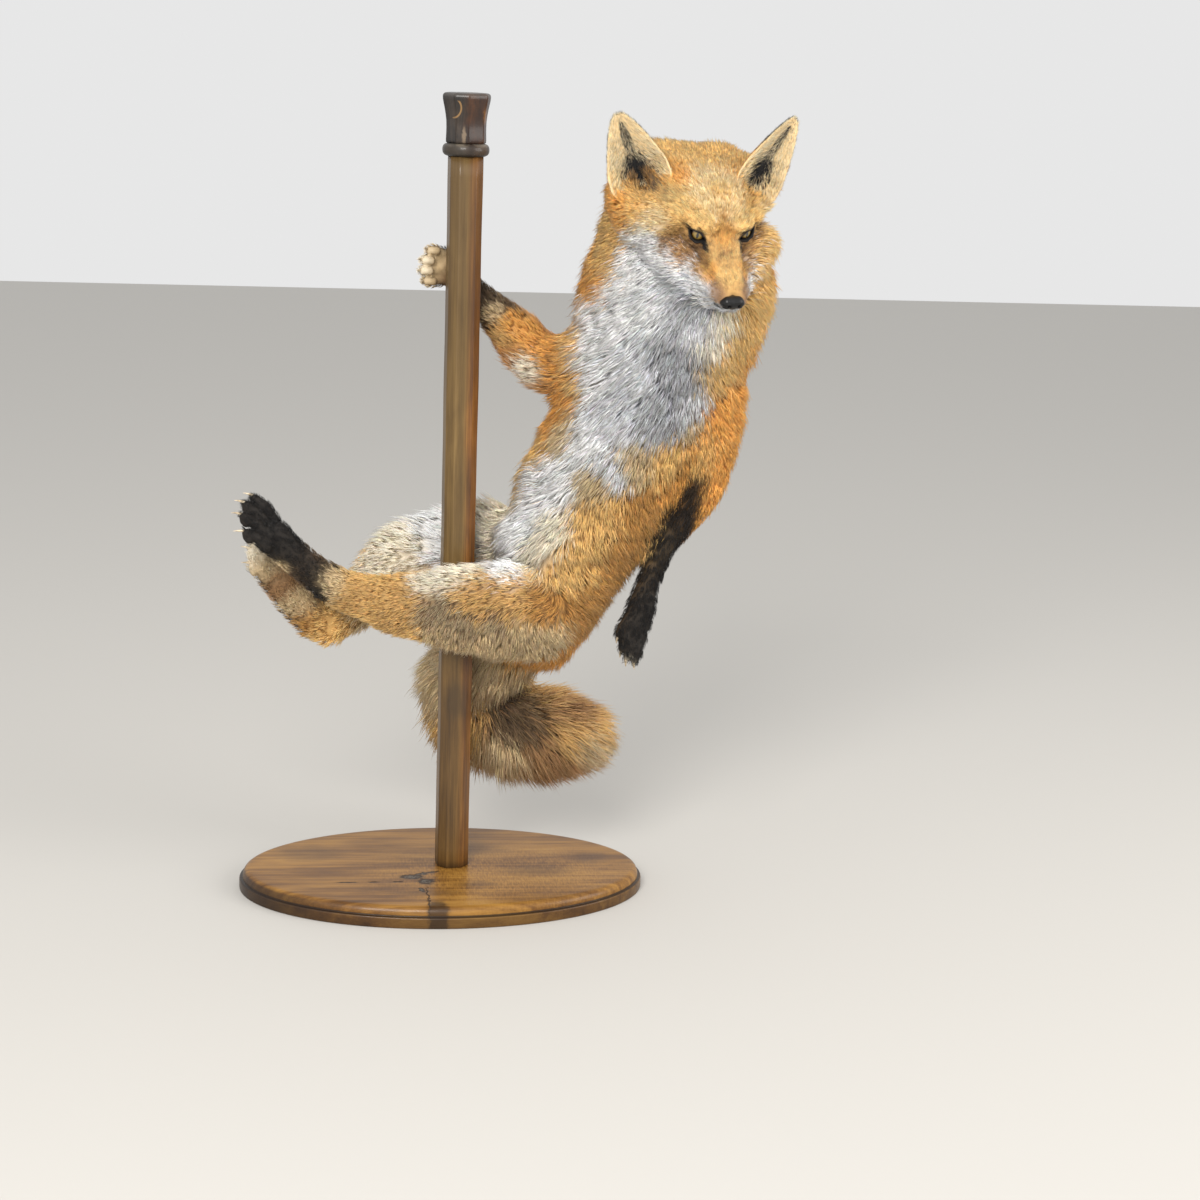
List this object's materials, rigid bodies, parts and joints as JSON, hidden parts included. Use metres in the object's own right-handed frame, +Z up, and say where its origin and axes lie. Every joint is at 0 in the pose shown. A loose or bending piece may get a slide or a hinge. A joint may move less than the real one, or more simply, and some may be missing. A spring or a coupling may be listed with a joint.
{
  "type": "taxidermy red fox on a pole stand",
  "caption": "Life-size mounted red fox swinging round an upright wooden pole, one forepaw hooked on it and both hind legs thrown forward, on an oval wooden base.",
  "frame": {"origin": "middle of the oval base's underside", "axes": "+Z up along the pole, +X along the base's long axis toward the fox's body, -Y toward the side that the fox looks to"},
  "size_m": [0.5991, 0.268, 0.8816],
  "materials": {
    "stained_wood": "walnut stain, satin to gloss",
    "dark_wood": "dark stain, gloss",
    "eye_glass": "amber glass eye with an upright pupil",
    "nose_leather": "black, slightly wet",
    "fur_orange": "long ochre-orange fur",
    "fur_grey": "long silver-grey fur with dark streaks",
    "fur_cream": "long cream-white fur",
    "fur_black": "short black-brown fur",
    "fur_brown": "long brown brush with dark tips",
    "claw_horn": "horn, darker at the tip"
  },
  "bodies": {
    "root": {"base": "stained_wood", "pole": "stained_wood", "collar": "dark_wood", "finial": "dark_wood", "eye_right": "eye_glass", "eye_left": "eye_glass", "nose": "nose_leather", "head": "fur_orange", "muzzle": "fur_orange", "jaw": "fur_cream", "ear_right": "fur_orange", "ear_left": "fur_orange", "neck": "fur_grey", "chest": "fur_grey", "loin": "fur_cream", "pelvis": "fur_orange", "foreleg_right_upper": "fur_orange", "foreleg_right_lower": "fur_orange", "foreleg_right_paw": "fur_cream", "claw_foreleg_right_1": "claw_horn", "claw_foreleg_right_2": "claw_horn", "claw_foreleg_right_3": "claw_horn", "claw_foreleg_right_4": "claw_horn", "foreleg_left_upper": "fur_orange", "foreleg_left_lower": "fur_black", "foreleg_left_paw": "fur_black", "claw_foreleg_left_1": "claw_horn", "claw_foreleg_left_2": "claw_horn", "claw_foreleg_left_3": "claw_horn", "claw_foreleg_left_4": "claw_horn", "hindleg_left_thigh": "fur_orange", "hindleg_left_shank": "fur_orange", "hindleg_left_foot": "fur_black", "claw_hindleg_left_1": "claw_horn", "claw_hindleg_left_2": "claw_horn", "claw_hindleg_left_3": "claw_horn", "claw_hindleg_left_4": "claw_horn", "hindleg_right_thigh": "fur_cream", "hindleg_right_shank": "fur_cream", "hindleg_right_foot": "fur_cream", "claw_hindleg_right_1": "claw_horn", "claw_hindleg_right_2": "claw_horn", "claw_hindleg_right_3": "claw_horn", "claw_hindleg_right_4": "claw_horn", "tail_root": "fur_cream", "tail_brush": "fur_brown", "tail_tip": "fur_brown"}
  },
  "joints": []
}
